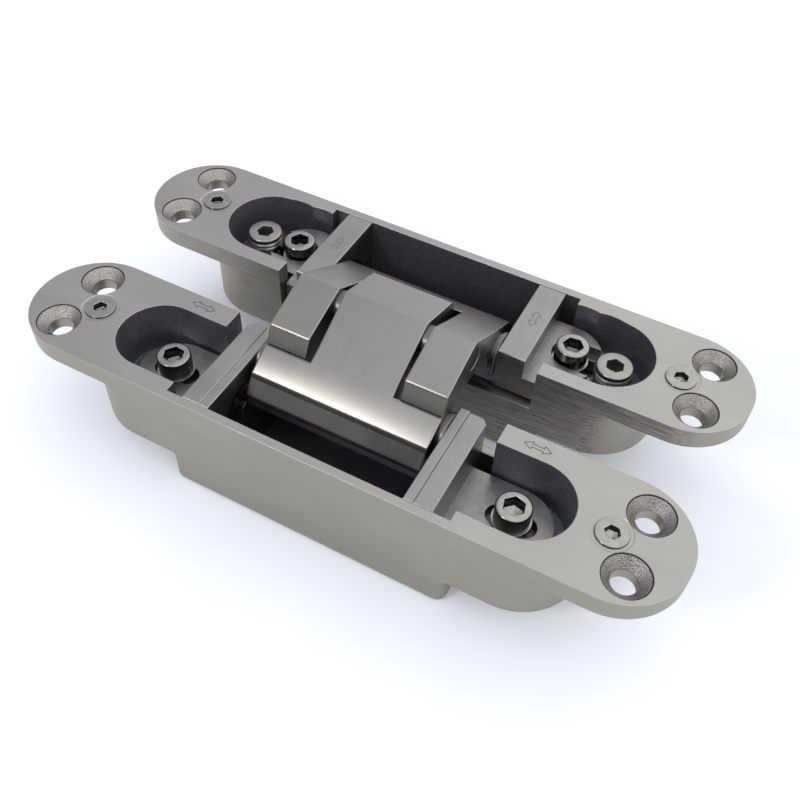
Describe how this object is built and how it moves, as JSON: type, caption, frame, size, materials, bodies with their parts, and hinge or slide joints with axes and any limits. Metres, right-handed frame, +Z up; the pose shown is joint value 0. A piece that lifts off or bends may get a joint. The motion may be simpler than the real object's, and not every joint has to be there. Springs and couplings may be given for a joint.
{
  "type": "concealed door hinge",
  "caption": "Concealed door hinge for flush doors: two round-ended mortise bodies joined by crossed arms, with slotted carriages and threaded spindles for adjustment.",
  "frame": {"origin": "centre of the footprint on the plane under both deep middle boxes, hinge fully open", "axes": "+X along the plates, +Y from the front body to the rear body, +Z up out of the face plates"},
  "size_m": [0.17, 0.0818, 0.0436],
  "materials": {
    "housing_metal": "satin plated casting",
    "arm_metal": "finely brushed",
    "carriage_metal": "satin",
    "screw_metal": "plated",
    "pin_metal": "ground",
    "bearing_plastic": "matt bearing plastic"
  },
  "bodies": {
    "front_body": {"front_housing": "housing_metal", "front_clamp_screws": "screw_metal", "front_clamp_washers": "screw_metal", "front_plate_screws": "screw_metal"},
    "front_carriage": {"front_bracket_left": "carriage_metal", "front_bracket_right": "carriage_metal", "front_liner_left": "carriage_metal", "front_liner_right": "carriage_metal", "front_pivot_pin": "pin_metal", "front_pivot_washers": "pin_metal"},
    "fork": {"fork_arm": "arm_metal", "centre_pin": "pin_metal", "centre_washers": "pin_metal", "rear_slide_pin": "pin_metal", "rear_slide_bushes": "bearing_plastic"},
    "tee": {"tee_arm": "arm_metal", "front_slide_pin": "pin_metal", "front_slide_bushes": "bearing_plastic"},
    "rear_carriage": {"rear_bracket_left": "carriage_metal", "rear_bracket_right": "carriage_metal", "rear_pivot_pin": "pin_metal", "rear_pivot_washers": "pin_metal", "rear_clamp_screws": "screw_metal", "rear_clamp_washers": "screw_metal"},
    "rear_body": {"rear_housing": "housing_metal", "rear_plate_screws": "screw_metal"},
    "left_spindle": {"spindle_left": "screw_metal"},
    "right_spindle": {"spindle_right": "screw_metal"}
  },
  "joints": [
    {"name": "height_slide", "type": "slide", "parent": "front_body", "child": "front_carriage", "axis": [1, 0, 0], "range_m": [-0.003, 0.003]},
    {"name": "fold", "type": "hinge", "parent": "front_carriage", "child": "fork", "pos_m": [0, -0.0149, 0.027], "axis": [1, 0, 0], "range_deg": [0, 120.84]},
    {"name": "tee_swing", "type": "hinge", "parent": "fork", "child": "tee", "pos_m": [0, 0, 0.0383], "axis": [1, 0, 0], "range_deg": [-61.69, 0]},
    {"name": "leaf_swing", "type": "hinge", "parent": "tee", "child": "rear_carriage", "pos_m": [0, 0.0149, 0.027], "axis": [1, 0, 0], "range_deg": [0, 120.84]},
    {"name": "left_spindle_turn", "type": "hinge", "parent": "rear_carriage", "child": "left_spindle", "pos_m": [-0.0516, 0.0249, 0.02], "axis": [0, 0, 1], "range_deg": [-360, 360]},
    {"name": "right_spindle_turn", "type": "hinge", "parent": "rear_carriage", "child": "right_spindle", "pos_m": [0.0516, 0.0249, 0.02], "axis": [0, 0, 1], "range_deg": [-360, 360]},
    {"name": "depth_slide", "type": "slide", "parent": "rear_carriage", "child": "rear_body", "axis": [0, 0, 1], "range_m": [-0.001, 0.001]}
  ],
  "couplings": [
    {"joint": "tee_swing", "follows": "fold", "ratio": -0.51044},
    {"joint": "leaf_swing", "follows": "fold", "ratio": 1},
    {"joint": "left_spindle_turn", "follows": "depth_slide", "rad_per_m": -6283.2},
    {"joint": "right_spindle_turn", "follows": "depth_slide", "rad_per_m": -6283.2}
  ]
}
